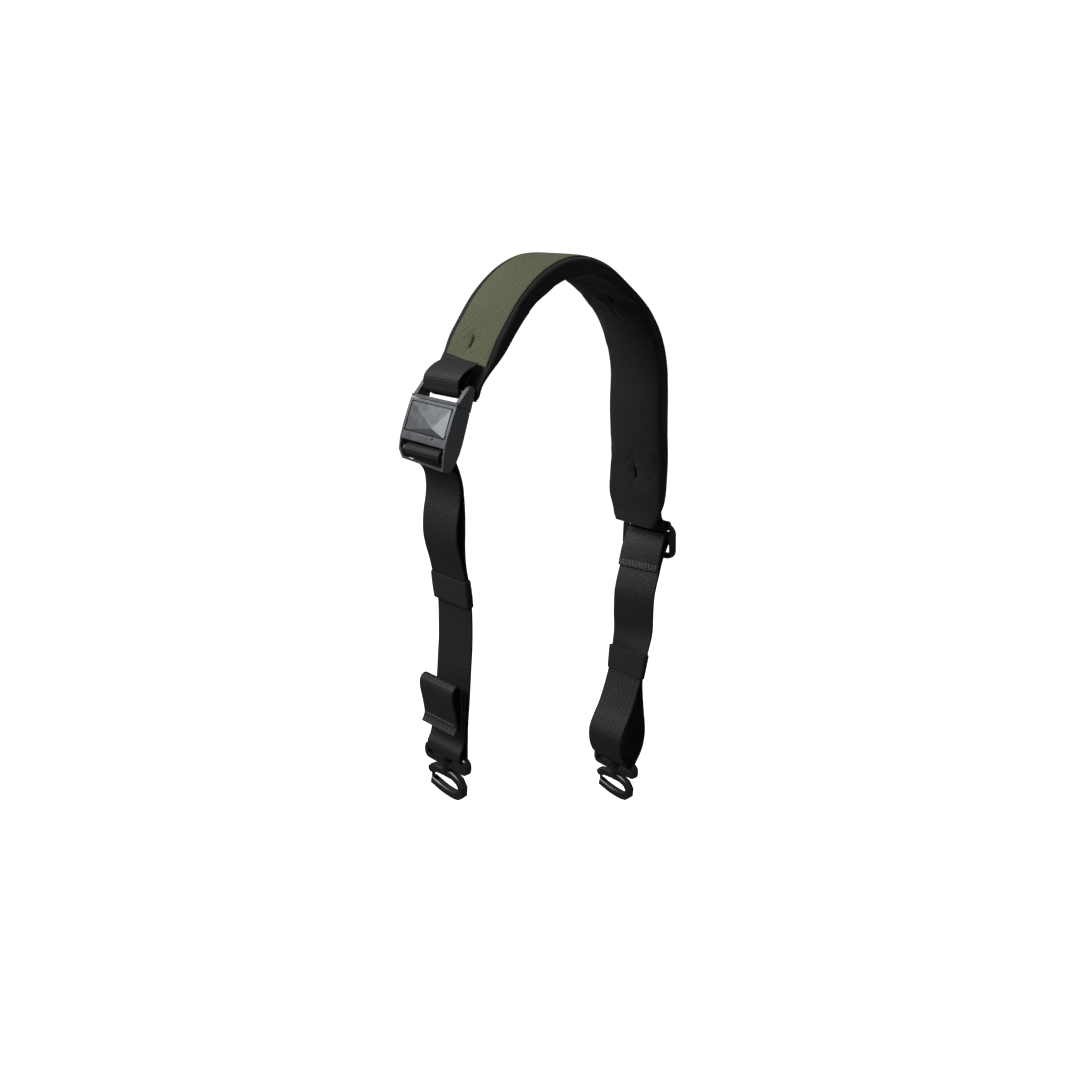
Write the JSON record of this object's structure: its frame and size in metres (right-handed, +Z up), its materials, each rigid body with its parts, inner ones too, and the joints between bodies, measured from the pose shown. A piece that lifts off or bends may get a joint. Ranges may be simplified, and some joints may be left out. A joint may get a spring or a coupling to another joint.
{
  "type": "crossbody strap",
  "caption": "Padded crossbody strap hanging from a shoulder: olive and black curved pad, black webbing legs, side release buckle, slider and two swivel hooks.",
  "frame": {"origin": "top of the arch where a shoulder carries it, 1.6 mm inside the soft inner face that the load presses in, halfway across the width", "axes": "+Z up, +Y across the strap's width, +X from the buckle's leg to the slider's leg"},
  "size_m": [0.2372, 0.055, 0.4543],
  "materials": {
    "inner_fabric": "smooth black knitted fabric over foam",
    "cover_fabric": "olive woven fabric with a fine rib",
    "webbing": "black ribbed nylon webbing with a slight sheen",
    "elastic": "fine charcoal knitted elastic",
    "buckle_shell": "satin dark grey",
    "buckle_plate": "satin grey, slightly metallic",
    "hardware": "semi gloss black acetal"
  },
  "bodies": {
    "strap": {"pad_core": "inner_fabric", "pad_cover": "cover_fabric", "anchor_left": "webbing", "buckle_upper": "buckle_shell", "buckle_body": "buckle_shell", "buckle_face": "buckle_plate", "left_strap": "webbing", "left_keeper": "elastic", "left_pull_tab": "webbing", "left_dloop": "hardware", "anchor_right": "webbing", "right_slider": "hardware", "right_strap": "webbing", "right_keeper": "elastic", "right_dloop": "hardware"},
    "left_hook": {"left_hook": "hardware"},
    "left_gate": {"left_gate": "hardware"},
    "right_hook": {"right_hook": "hardware"},
    "right_gate": {"right_gate": "hardware"}
  },
  "joints": [
    {"name": "left_swivel", "type": "hinge", "parent": "strap", "child": "left_hook", "pos_m": [-0.104, 0, -0.352], "axis": [0, 0, 1], "continuous": true},
    {"name": "left_gate_hinge", "type": "hinge", "parent": "left_hook", "child": "left_gate", "pos_m": [-0.104, 0.0172, -0.3584], "axis": [-1, 0, 0], "range_deg": [0, 35], "stiffness_Nm_per_rad": 0.02, "springref_deg": -17.19},
    {"name": "right_swivel", "type": "hinge", "parent": "strap", "child": "right_hook", "pos_m": [0.0755, 0, -0.418], "axis": [0, 0, 1], "continuous": true},
    {"name": "right_gate_hinge", "type": "hinge", "parent": "right_hook", "child": "right_gate", "pos_m": [0.07619, 0.01719, -0.4244], "axis": [-0.9992, 0.04, 0], "range_deg": [0, 35], "stiffness_Nm_per_rad": 0.02, "springref_deg": -17.19}
  ]
}
